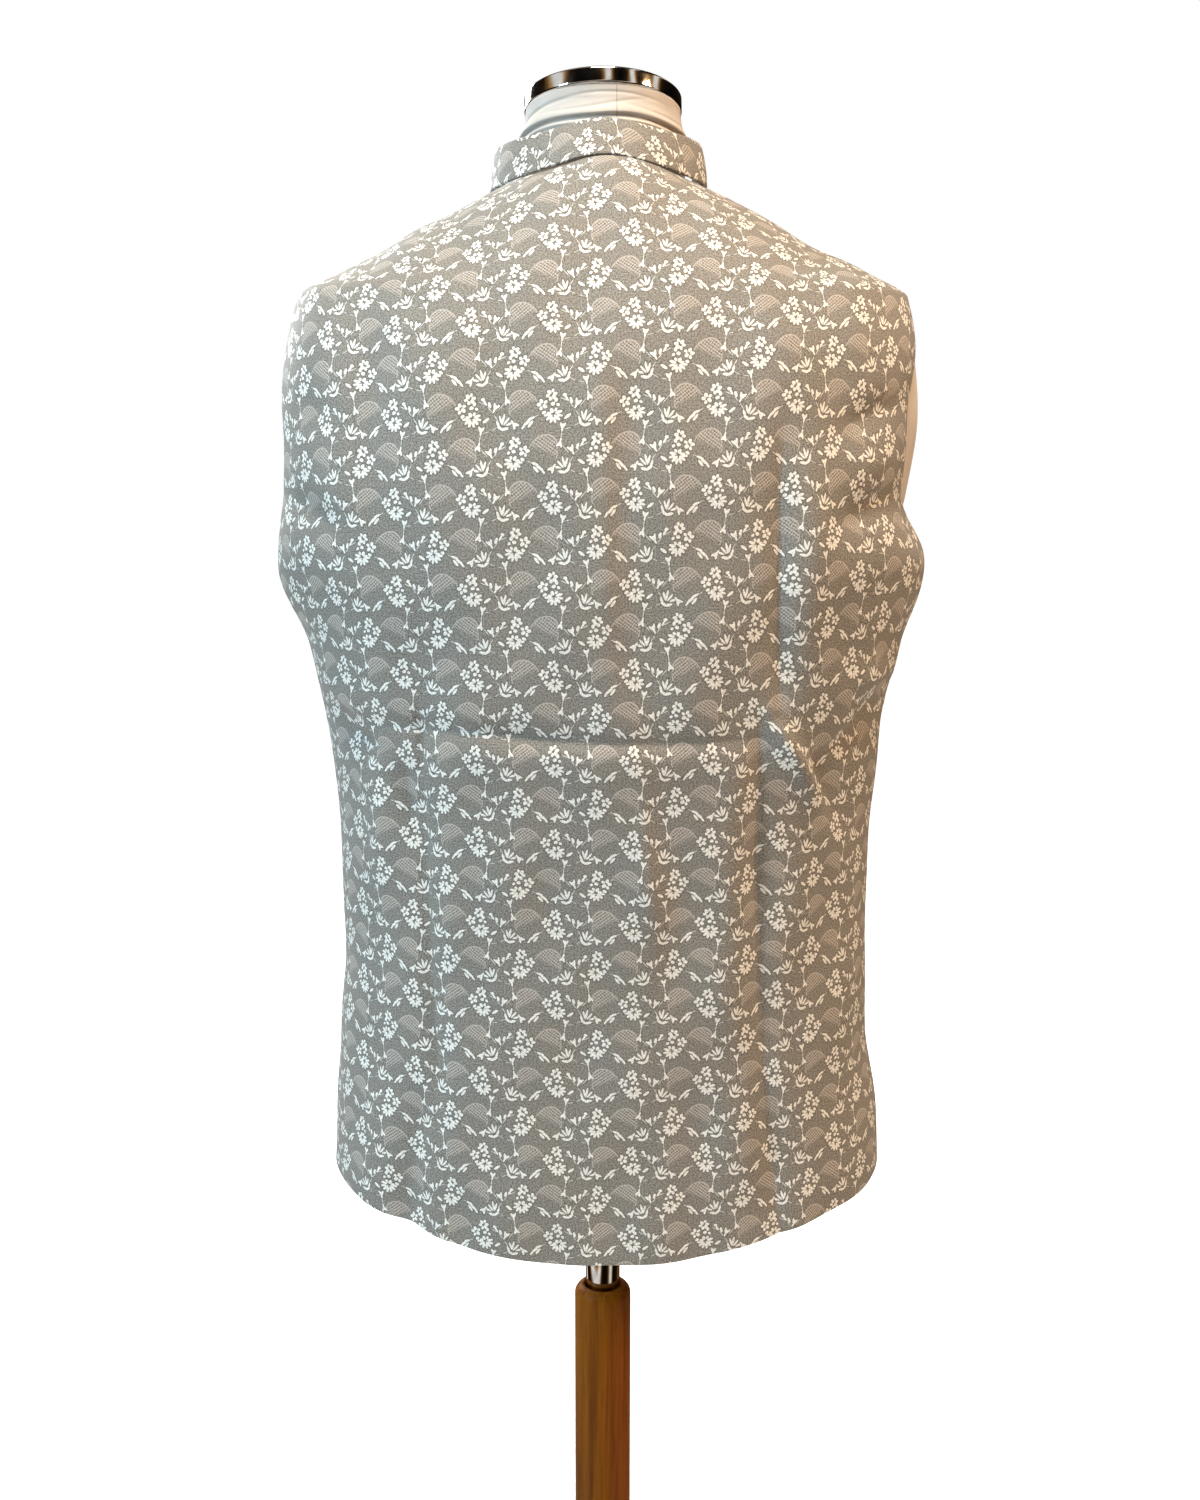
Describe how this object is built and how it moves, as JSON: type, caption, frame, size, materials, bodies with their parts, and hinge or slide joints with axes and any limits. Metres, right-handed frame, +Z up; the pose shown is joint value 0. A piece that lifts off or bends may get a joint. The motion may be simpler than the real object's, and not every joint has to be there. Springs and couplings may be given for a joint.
{
  "type": "nehru jacket on dress form",
  "caption": "Sleeveless nehru jacket with a stand collar and buttoned front in floral jacquard, worn by a limbless dress form on a wooden stand",
  "frame": {"origin": "on the floor under the middle of the round foot", "axes": "+Z up, the jacket's front faces -Y and its back faces +Y, +X is the wearer's left"},
  "size_m": [0.4299, 0.36, 1.5136],
  "materials": {
    "jacquard": "taupe-grey jacquard with an ivory floral repeat, slight satin sheen",
    "button": "grey-brown horn-look button",
    "jersey": "cream stretch jersey",
    "chrome": "polished chrome plate",
    "wood": "orange-brown varnished wood"
  },
  "bodies": {
    "root": {"jacket_back": "jacquard", "jacket_front_left": "jacquard", "jacket_front_right": "jacquard", "collar": "jacquard", "button_1": "button", "button_2": "button", "button_3": "button", "button_4": "button", "button_5": "button", "form_torso": "jersey", "form_neck_cap": "chrome", "stand_rod": "chrome", "stand_pole": "wood", "stand_base": "wood"}
  },
  "joints": []
}
